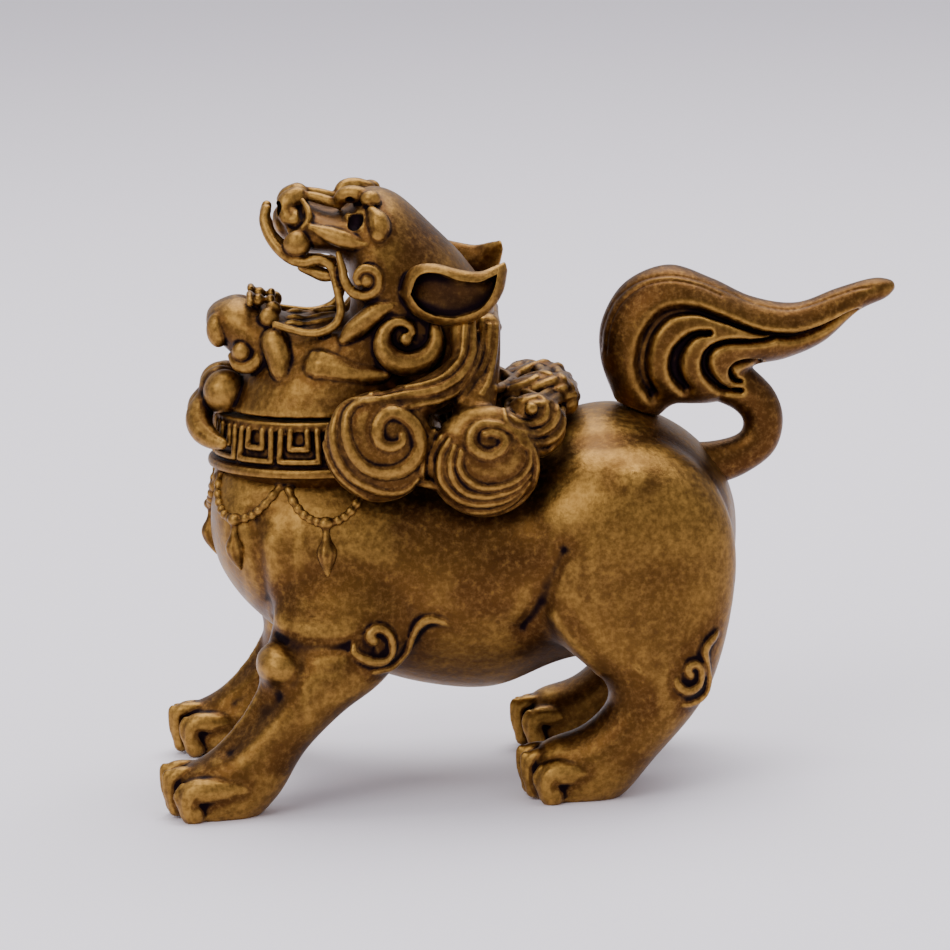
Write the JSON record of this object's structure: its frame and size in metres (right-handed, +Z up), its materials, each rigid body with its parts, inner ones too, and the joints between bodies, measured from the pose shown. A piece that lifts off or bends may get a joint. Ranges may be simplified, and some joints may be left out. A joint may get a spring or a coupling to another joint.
{
  "type": "guardian lion incense burner",
  "caption": "Small cast bronze guardian lion, an incense burner whose head with curled mane lifts off the hollow body.",
  "frame": {"origin": "on the ground, under the middle of the figure's outline", "axes": "+Z up; the lion faces -X and its length runs along X; +Y is its right side"},
  "size_m": [0.0688, 0.0322, 0.0556],
  "materials": {
    "body_bronze": "speckled olive-brown bronze patina, satin, brassy on worn ridges, near black in the hollows",
    "head_bronze": "the same patina as the body, with more brass showing on the curls, lobes and ear rims"
  },
  "bodies": {
    "root": {"body_vessel": "body_bronze", "head_lid": "head_bronze"}
  },
  "joints": []
}
